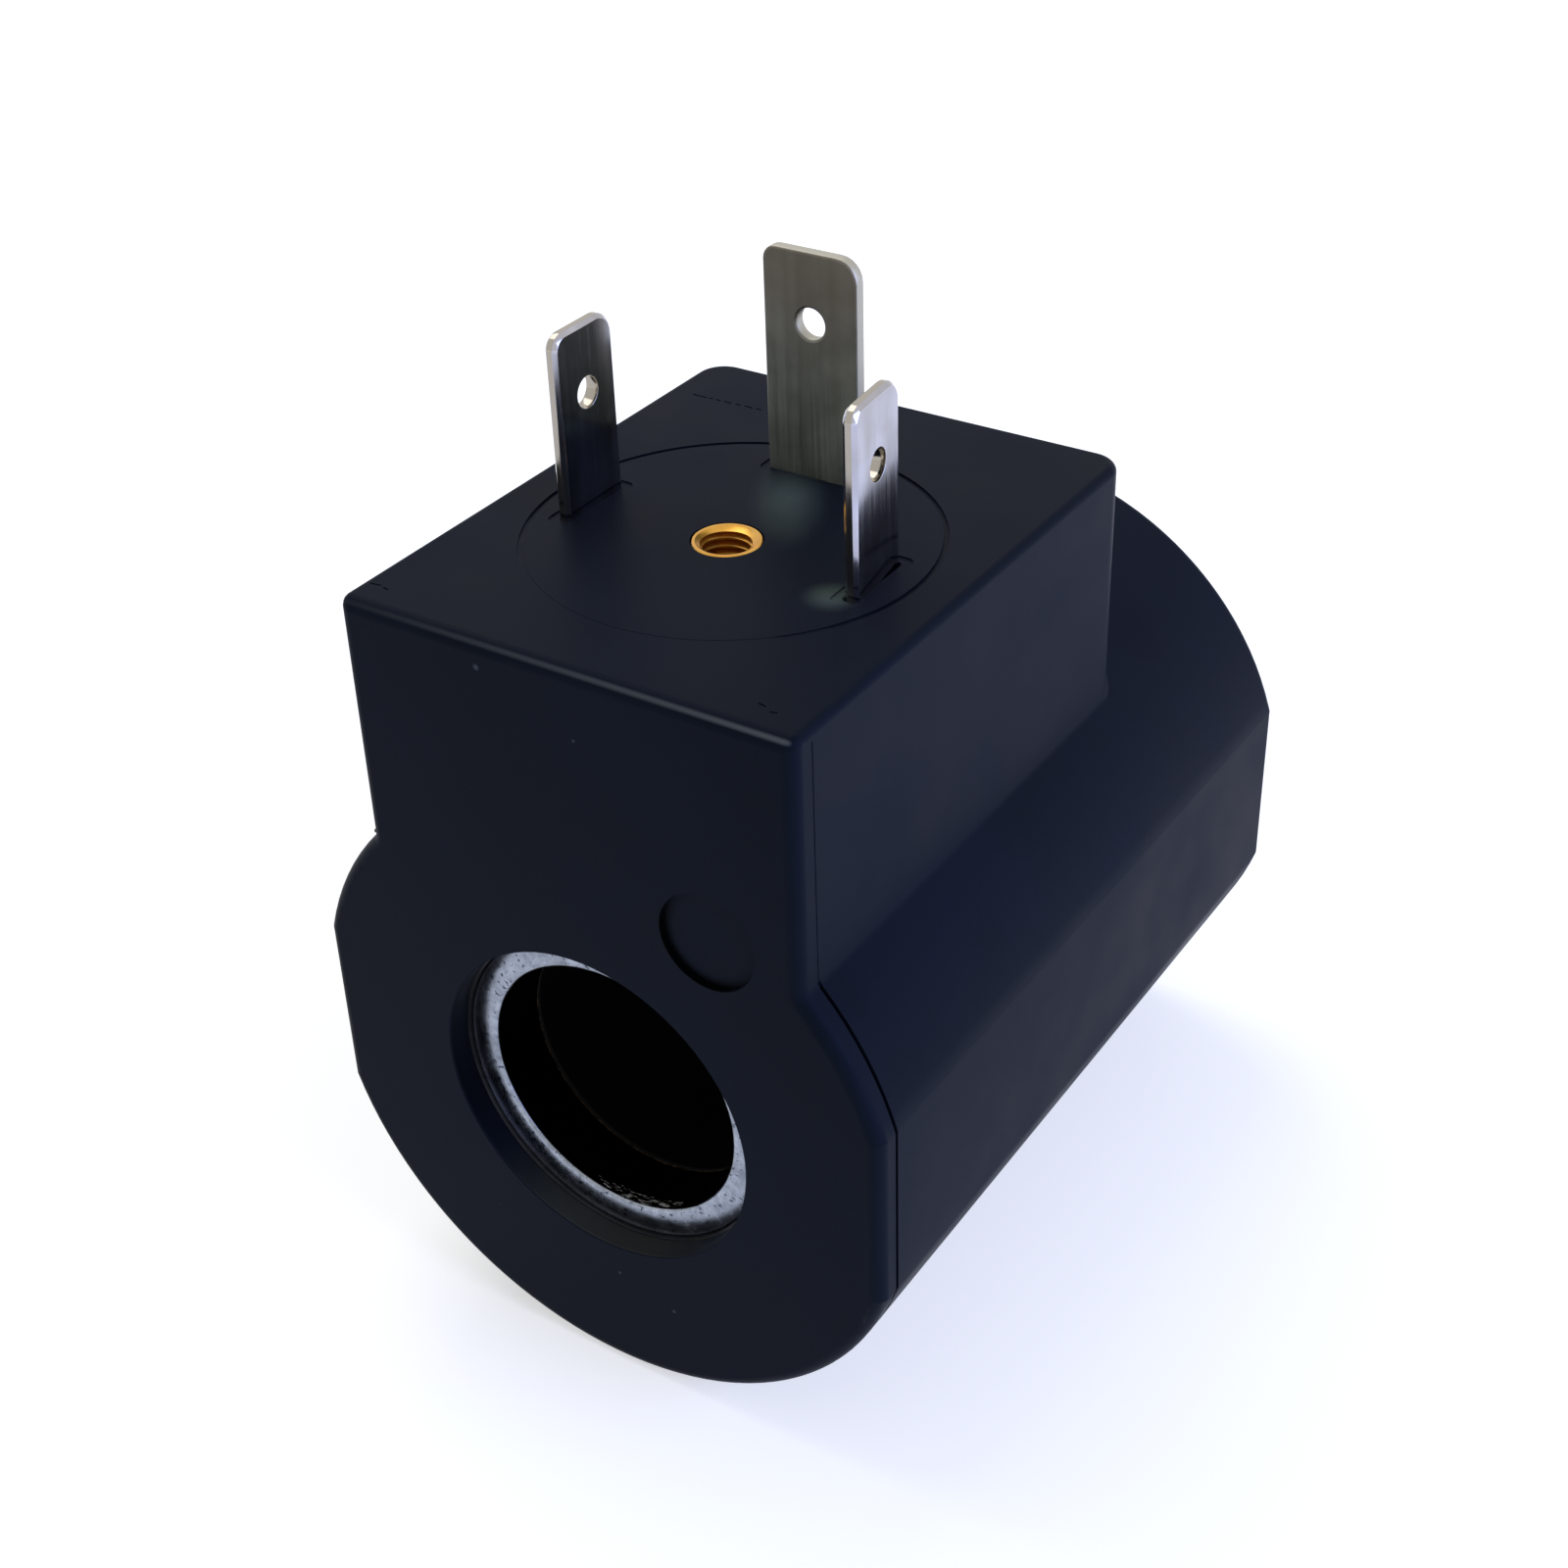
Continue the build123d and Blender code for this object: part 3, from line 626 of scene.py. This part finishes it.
finishes = {
    "casing_plastic": glass_filled_nylon(),
    "bobbin_plastic": bobbin_nylon(),
    "zinc_plated_steel": zinc_plated_steel(),
    "magnet_steel": magnet_steel(),
    "tinned_brass": tinned_brass("tinned_brass_power_blade", (1.0, 0.0, 0.0),
                                 "#97979c", "#bbbccb", "#b0adb2", "#a39b8d", 0.1, 0.18),
    # The earth blade's copy of the tin has darker, olive colours than the power blades':
    # painted shade and painted reflection on the same tin.
    "tinned_brass_across": tinned_brass("tinned_brass_earth_blade_shaded", (0.0, 1.0, 0.0),
                                        "#70736a", "#8b8f86", "#574b40", "#b4b0a4", 0.42, 0.52),
    "brass": turned_brass(),
    "enamelled_copper": enamelled_copper(),
    "polyester_tape": polyester_tape(),
    "glass_sleeve": glass_sleeve(),
    "solder": tin_solder(),
}
print("materials:", len(finishes))

# %% [markdown]
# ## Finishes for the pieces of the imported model
#
# The record says which slot each node takes its finish from, so one loop dresses them.

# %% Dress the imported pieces
slot_of = {part["node"]: part["material_slot"] for part in frame["record"]["subparts"]}
for name, piece in nodes.items():
    piece.data.materials.clear()
    piece.data.materials.append(finishes[slot_of[name]])
print("packed pieces dressed:", len(nodes))

# %% [markdown]
# ## The skin of the casing
#
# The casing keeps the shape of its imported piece. A copy of that piece takes what only
# the eye needs: round the contacts the plastic has crept back up to the blades, so the
# pockets are almost flush, the witness circle of the mould fades out towards the front,
# a few nicks and a broken line show where the mould is worn, and a fine line runs down
# each side of the block to a short step at its neck. The copy is made of loose triangles,
# so its doubled vertices are merged before anything is changed.

# %% Copy and age the casing
pocket_depth = 0.35 * mm
depth_left = 0.08 * mm
circle_depth = 0.12 * mm
circle_front = -21 * mm
circle_reach = 12 * mm
casing = bpy.data.objects.new("casing_moulded", nodes["casing"].data.copy())
bpy.context.scene.collection.objects.link(casing)
make_active(casing)
bpy.ops.mesh.customdata_custom_splitnormals_clear()
bpy.ops.object.mode_set(mode="EDIT")
bpy.ops.mesh.select_all(action="SELECT")
bpy.ops.mesh.remove_doubles(threshold=merge_distance)
found = pick(casing, "VERT", lambda spot: abs(spot.z - seat + pocket_depth) < tiny
             and abs(spot.x) < 11 * mm and -14 * mm < spot.y < 3 * mm)
bpy.ops.transform.translate(value=(0, 0, pocket_depth - depth_left))
print("pocket floor vertices raised:", found)
# Each pass raises a shorter stretch of the circle, so that it fades in three steps.
for faded_from in (-12.5 * mm, -14.5 * mm, -16.5 * mm):
    pick(casing, "VERT", lambda spot: seat - circle_depth - tiny < spot.z < seat - tiny
         and abs(spot.x) < circle_reach and circle_front < spot.y < faded_from)
    bpy.ops.transform.translate(value=(0, 0, 0.3 * circle_depth))
bpy.ops.object.mode_set(mode="OBJECT")


def nick(start, end, width, depth):
    """A shallow straight nick in the seat, from one point to another."""
    line = end - start
    bpy.ops.object.select_all(action="DESELECT")
    bpy.ops.mesh.primitive_cube_add(size=1.0, location=((start.x + end.x) / 2,
                                    (start.y + end.y) / 2, seat))
    bpy.context.object.scale = (line.length, width, 2 * depth)
    bpy.context.object.rotation_euler.z = -line.angle_signed(Vector((1, 0)))
    return settle("nick")


# The broken line near the rear left corner, dash by dash: how far along it starts, and
# its length. Then the nicks in the two front corners: start, length and lean.
nicks = []
dash_start = Vector((-12.2, 5.1)) * mm
for offset, length in ((0.0, 1.0), (1.15, 0.25), (1.6, 0.35), (2.2, 0.5), (3.0, 0.35),
                       (3.6, 0.6), (4.4, 0.4)):
    start = dash_start + Vector((offset, 0.03 * offset)) * mm
    nicks.append(nick(start, start + Vector((length, 0.02)) * mm, 0.12 * mm, 0.06 * mm))
for x, y, length, lean in ((-13.4, -22.5, 0.7, -0.1), (-12.5, -22.7, 0.4, 0.1),
                           (10.6, -22.5, 0.5, 0.1), (11.5, -22.7, 0.4, -0.1)):
    start = Vector((x, y)) * mm
    nicks.append(nick(start, start + Vector((length, lean)) * mm, 0.1 * mm, 0.06 * mm))
# The line down each side continues the parting line, and the step runs forward from it.
line_low, line_high = 12.8 * mm, 27.6 * mm
step_low, step_high, step_front = 13.32 * mm, 13.5 * mm, -24.2 * mm
for side in (-1, 1):
    side_x = side * block_side
    nicks.append(block("side_line", Vector((side_x - 0.03 * mm, parting_y, line_low)),
                       Vector((side_x + 0.03 * mm, parting_y + 0.15 * mm, line_high))))
    nicks.append(block("side_step", Vector((side_x - 0.1 * mm, step_front, step_low)),
                       Vector((side_x + 0.1 * mm, parting_y + 0.1 * mm, step_high))))
bpy.ops.object.select_all(action="DESELECT")
for piece in nicks:
    piece.select_set(True)
bpy.context.view_layer.objects.active = nicks[0]
bpy.ops.object.join()
cut(casing, nicks[0])
make_active(casing)
bpy.ops.object.shade_smooth_by_angle(angle=radians(30))
casing.modifiers.new("flats", "WEIGHTED_NORMAL").keep_sharp = True
bpy.ops.object.modifier_apply(modifier="flats")
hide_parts("casing")
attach(casing, "root")
dress(casing, finishes["casing_plastic"])

# %% [markdown]
# ## The flux rings
#
# A steel ring in each mouth leads the field into the armature. Its face is turned flat
# and lies a little below the mouth of the casing, and both rims of the face are broken
# by a small chamfer. The inner chamfer is worn round by the tube that is pushed through
# it. The rear ring is a copy of the front one, mirrored.

# %% Turn the front flux ring and copy it to the rear
ring_radius = (ring_high.x - ring_low.x) / 2
ring_break = 0.2 * mm
worn_break = 0.28 * mm
face, back = ring_low.y, ring_high.y
half_section = [(ring_radius, back), (ring_radius, face + ring_break),
                (ring_radius - ring_break, face)]
worn_steps = 4
for step in range(worn_steps + 1):
    turn_angle = step / worn_steps * pi / 2
    half_section.append((bore_radius + worn_break * (1 - sin(turn_angle)),
                         face + worn_break * (1 - cos(turn_angle))))
half_section += [(bore_radius, back), (ring_radius, back)]
front_ring = turned("front_flux_ring_turned", Vector(), "Y", half_section, 256)
break_edges(front_ring, 0.02 * mm, 1)
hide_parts("front_flux_ring")

make_active(front_ring)
bpy.ops.object.duplicate()
rear_ring = bpy.context.object
rear_ring.name = "rear_flux_ring_turned"
bpy.ops.object.mode_set(mode="EDIT")
bpy.ops.mesh.select_all(action="SELECT")
bpy.ops.transform.resize(value=(1, -1, 1), center_override=(0, 0, 0))
bpy.ops.mesh.normals_make_consistent(inside=False)
bpy.ops.object.mode_set(mode="OBJECT")
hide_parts("rear_flux_ring")
for ring in (front_ring, rear_ring):
    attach(ring, "root")
    dress(ring, finishes["zinc_plated_steel"])

# %% [markdown]
# ## The threaded insert
#
# A brass bush for the M3 screw of the plug. Its body is turned with two grooves that the
# plastic fills, and its hole is drilled, countersunk and tapped. A thread is a groove
# that climbs round the hole, so a small triangle is swept along a helix by the Screw
# modifier and cut out of the drilled body.

# %% Turn and tap the insert
pitch = 0.5 * mm
# The core is drawn 0.1 mm wider than that of a real M3 thread, as the photograph shows it.
core_radius = 1.36 * mm
mouth_radius = 1.66 * mm
mouth_depth = 0.22 * mm
lip_radius = 1.93 * mm
groove_radius = 1.75 * mm
knurl_radius = (insert_high.x - insert_low.x) / 2
lip_height = 0.8 * mm
groove_width = 1.0 * mm
lip_break = 0.06 * mm
bottom = insert_low.z
hole_bottom = bottom + 1.0 * mm
drill_slope = radians(31)
middle_groove = seat - (seat - bottom - groove_width) / 2 - lip_height / 2
half_section = [
    (knurl_radius, bottom),
    (knurl_radius, middle_groove - groove_width),
    (groove_radius, middle_groove - groove_width),
    (groove_radius, middle_groove),
    (knurl_radius, middle_groove),
    (knurl_radius, seat - lip_height - groove_width),
    (groove_radius, seat - lip_height - groove_width),
    (groove_radius, seat - lip_height),
    (lip_radius, seat - lip_height),
    (lip_radius, seat - lip_break),
    (lip_radius - lip_break, seat),
    (mouth_radius + lip_break, seat),
    (mouth_radius, seat - lip_break),
    (core_radius, seat - mouth_depth),
    (core_radius, hole_bottom),
    (0, hole_bottom - core_radius * tan(drill_slope)),
]
axis_point = Vector((insert_centre.x, insert_centre.y, 0))
insert = turned("threaded_insert_tapped", axis_point, "Z", half_section, 96)
make_active(insert)
bpy.ops.object.mode_set(mode="EDIT")
pick(insert, "EDGE", lambda spot: spot.z < bottom + tiny)
bpy.ops.mesh.edge_face_add()
bpy.ops.mesh.select_all(action="SELECT")
bpy.ops.mesh.normals_make_consistent(inside=False)
bpy.ops.object.mode_set(mode="OBJECT")

# The cutter's section is a triangle that points outwards, and its helix ends just above
# the mouth.
tooth = 0.26 * mm
thread_turns = 11
steps_a_turn = 48
bpy.ops.object.select_all(action="DESELECT")
bpy.ops.mesh.primitive_circle_add(vertices=3, radius=tooth, fill_type="NOTHING",
                                  location=(0, core_radius + 0.25 * tooth, 0),
                                  rotation=(0, pi / 2, 0))
thread_cutter = settle("thread_cutter")
winding_up = thread_cutter.modifiers.new("helix", "SCREW")
winding_up.axis = "Z"
winding_up.screw_offset = pitch
winding_up.iterations = thread_turns
winding_up.steps = steps_a_turn
winding_up.render_steps = steps_a_turn
winding_up.use_merge_vertices = False
bpy.ops.object.modifier_apply(modifier="helix")
bpy.ops.object.mode_set(mode="EDIT")
bpy.ops.mesh.select_all(action="SELECT")
bpy.ops.transform.translate(value=(insert_centre.x, insert_centre.y,
                                   seat - (thread_turns - 0.1) * pitch))
bpy.ops.mesh.fill_holes(sides=3)
bpy.ops.mesh.normals_make_consistent(inside=False)
bpy.ops.object.mode_set(mode="OBJECT")
cut(insert, thread_cutter)
make_active(insert)
bpy.ops.object.shade_smooth_by_angle(angle=radians(32))
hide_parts("threaded_insert")
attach(insert, "root")
dress(insert, finishes["brass"])

# %% [markdown]
# ## The two power blades
#
# A contact blade is stamped from tinned brass strip 0.8 mm thick. The press rounds the
# two corners of the tip so that the blade finds its socket, punches a hole that lets the
# socket's spring click in, and coins the edges of both broad sides. Below the seat the
# blade narrows to a tag for the lead of the coil. The right blade stands turned by 5
# degrees. So both get a ring of edges just below the seat, and what is above it turns as
# one flat piece.

# %% Stamp the power blades
tag_length = 2.5 * mm
tag_width = 2.0 * mm
hole_radius = 0.9 * mm
power_hole_height = 6.6 * mm
front_corner = 0.9 * mm
rear_corner = 1.3 * mm
coined = 0.22 * mm
through = 4 * mm


def punch(blade, place, lying):
    """Punches the round hole of a blade."""
    bpy.ops.object.select_all(action="DESELECT")
    bpy.ops.mesh.primitive_cylinder_add(vertices=64, radius=hole_radius, depth=through,
                                        location=place, rotation=lying)
    cut(blade, settle("punch"))


def hand_over(blade, node, finish):
    """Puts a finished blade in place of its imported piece."""
    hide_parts(node)
    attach(blade, "root")
    dress(blade, finish)


def power_blade(node, twist):
    """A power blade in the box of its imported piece, its upper part turned by twist."""
    low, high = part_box(node)
    middle = (low + high) / 2
    shoulder = low.z + tag_length
    tag_y = middle.y - (high.y - low.y) / 4
    blade = block(node + "_stamped", Vector((low.x, low.y, shoulder)), high)
    bpy.ops.object.mode_set(mode="EDIT")
    for side in (-1, 1):
        pick(blade, "FACE", lambda spot: spot.z < shoulder + tiny)
        bpy.ops.mesh.bisect(plane_co=(0, tag_y + side * tag_width / 2, 0), plane_no=(0, 1, 0))
    pick(blade, "FACE", lambda spot: spot.z < shoulder + tiny and abs(spot.y - tag_y) < tiny)
    bpy.ops.mesh.extrude_region_move(TRANSFORM_OT_translate={"value": (0, 0, -tag_length)})
    turned_from = seat - 1 * mm
    bpy.ops.mesh.select_all(action="SELECT")
    bpy.ops.mesh.bisect(plane_co=(0, 0, turned_from), plane_no=(0, 0, 1))
    for corner_y, corner in ((low.y, front_corner), (high.y, rear_corner)):
        pick(blade, "EDGE", lambda spot: spot.z > high.z - tiny
             and abs(spot.y - corner_y) < tiny)
        bpy.ops.mesh.bevel(offset=corner, segments=8, affect="EDGES")
    tip_from = high.z - rear_corner - 0.1 * mm
    pick(blade, "EDGE", lambda spot: min(spot.x - low.x, high.x - spot.x) < tiny
         and spot.z > shoulder + tiny
         and (min(spot.y - low.y, high.y - spot.y) < tiny or spot.z > tip_from))
    bpy.ops.mesh.bevel(offset=coined, segments=1, affect="EDGES")
    bpy.ops.object.mode_set(mode="OBJECT")
    punch(blade, (middle.x, middle.y, seat + power_hole_height), (0, pi / 2, 0))
    break_edges(blade, 0.05 * mm, 2)
    bpy.ops.object.mode_set(mode="EDIT")
    pick(blade, "VERT", lambda spot: spot.z > turned_from - tiny)
    bpy.ops.transform.rotate(value=-twist, orient_axis="Z", center_override=middle)
    bpy.ops.object.mode_set(mode="OBJECT")
    return blade


left_blade = power_blade("left_power_blade", radians(0))
right_blade = power_blade("right_power_blade", radians(5))
for blade, node in ((left_blade, "left_power_blade"), (right_blade, "right_power_blade")):
    hand_over(blade, node, finishes["tinned_brass"])

# %% [markdown]
# ## The earth blade
#
# The earth blade stands across the other two and is longer, so that it makes contact
# first. It is bent into a foot under the plastic, which a rivet holds to the yoke. The
# blank starts as the upright strip, and the foot is drawn out of its lower end.

# %% Stamp and bend the earth blade
earth_low, earth_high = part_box("earth_blade")
rivet_low, rivet_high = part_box("earth_rivet")
strip = 0.8 * mm
bend_radius = 1.0 * mm
earth_hole_height = 9.0 * mm
left_corner = 0.8 * mm
right_corner = 1.3 * mm
rivet_hole_radius = 1.1 * mm
earth_blade = block("earth_blade_stamped", earth_low,
                    Vector((earth_high.x, earth_low.y + strip, earth_high.z)))
bpy.ops.object.mode_set(mode="EDIT")
bpy.ops.mesh.select_all(action="SELECT")
bpy.ops.mesh.bisect(plane_co=(0, 0, earth_low.z + strip), plane_no=(0, 0, 1))
pick(earth_blade, "FACE", lambda spot: spot.z < earth_low.z + strip
     and abs(spot.y - earth_low.y - strip) < tiny)
bpy.ops.mesh.extrude_region_move(
    TRANSFORM_OT_translate={"value": (0, earth_high.y - earth_low.y - strip, 0)})
pick(earth_blade, "EDGE", lambda spot: spot.z < earth_low.z + tiny
     and abs(spot.y - earth_low.y) < tiny)
bpy.ops.mesh.bevel(offset=bend_radius, segments=8, affect="EDGES")
for corner_x, corner in ((earth_low.x, left_corner), (earth_high.x, right_corner)):
    pick(earth_blade, "EDGE", lambda spot: spot.z > earth_high.z - tiny
         and abs(spot.x - corner_x) < tiny)
    bpy.ops.mesh.bevel(offset=corner, segments=6, affect="EDGES")
bpy.ops.object.mode_set(mode="OBJECT")
punch(earth_blade, (0, earth_low.y + strip / 2, seat + earth_hole_height), (pi / 2, 0, 0))
bpy.ops.object.select_all(action="DESELECT")
rivet_y = (rivet_low.y + rivet_high.y) / 2
bpy.ops.mesh.primitive_cylinder_add(vertices=64, radius=rivet_hole_radius, depth=through,
                                    location=(0, rivet_y, earth_low.z))
cut(earth_blade, settle("rivet_hole"))
break_edges(earth_blade, 0.15 * mm, 3)
hand_over(earth_blade, "earth_blade", finishes["tinned_brass_across"])

# %% [markdown]
# ## The floor and the light
#
# The coil stands on a plain white floor between two large soft lamps, a weak one above
# and a stronger bluish one on the right, as from a window. The camera and the mirrors see
# floor and backdrop as white, while what lights the coil from them stays weak.

# %% Floor, world and lamps
def seen_by(tree, *rays):
    """1 for the kinds of ray that are named, 0 for the light that falls on things."""
    path = add_node(tree, "ShaderNodeLightPath")
    seen = path.outputs[rays[0]]
    for ray in rays[1:]:
        seen = add_node(tree, "ShaderNodeMath", {0: seen, 1: path.outputs[ray]},
                        operation="MAXIMUM")
    return seen


bpy.ops.object.select_all(action="DESELECT")
bpy.ops.mesh.primitive_plane_add(size=4.0, location=(0, 0, cad_low.z))
floor = bpy.context.object
floor.name = "floor"
material, tree, place = start_material("matt_white_floor")
matt = add_node(tree, "ShaderNodeBsdfDiffuse", {"Color": linear("#f4f5f7")})
seen = seen_by(tree, "Is Camera Ray", "Is Glossy Ray")
# Out of the lamps' reach the floor meets the backdrop, so there it is as white.
near_coil = spot_near(tree, place, (0, 0, cad_low.z), 150 * mm, 600 * mm)
seen_level = add_node(tree, "ShaderNodeMapRange", {"Value": near_coil, "To Min": 0.85,
                      "To Max": 0.55})
lift = add_node(tree, "ShaderNodeMapRange", {"Value": seen, "To Min": 0.3,
                "To Max": seen_level})
glow = add_node(tree, "ShaderNodeEmission", {"Color": linear("#ffffff"), "Strength": lift})
both = add_node(tree, "ShaderNodeAddShader", {0: matt, 1: glow})
end_material(tree, both)
floor.data.materials.append(material)

world = bpy.data.worlds.new("studio")
bpy.context.scene.world = world
world.use_nodes = True
tree = world.node_tree
tree.nodes.clear()
seen = seen_by(tree, "Is Camera Ray", "Is Glossy Ray", "Is Transmission Ray")
level = add_node(tree, "ShaderNodeMapRange", {"Value": seen, "To Min": 0.3, "To Max": 1.0})
background = add_node(tree, "ShaderNodeBackground", {"Color": linear("#ffffff"),
                      "Strength": level})
add_node(tree, "ShaderNodeOutputWorld", {"Surface": background})


def soft_lamp(name, place, size, power, colour):
    """A square lamp that looks at the coil; place and size in metres, power in watts."""
    bpy.ops.object.light_add(type="AREA", location=place)
    lamp = bpy.context.object
    lamp.name = name
    lamp.data.size = size
    lamp.data.energy = power
    lamp.data.color = linear(colour)[:3]
    lamp.rotation_mode = "QUATERNION"
    lamp.rotation_quaternion = (-Vector(place)).to_track_quat("-Z", "Y")


soft_lamp("key_lamp", (-0.3, 0.1, 0.6), 0.5, 1.5, "#ffffff")
soft_lamp("window_lamp", (0.6, 0.05, 0.2), 0.5, 3.9, "#a6bbff")
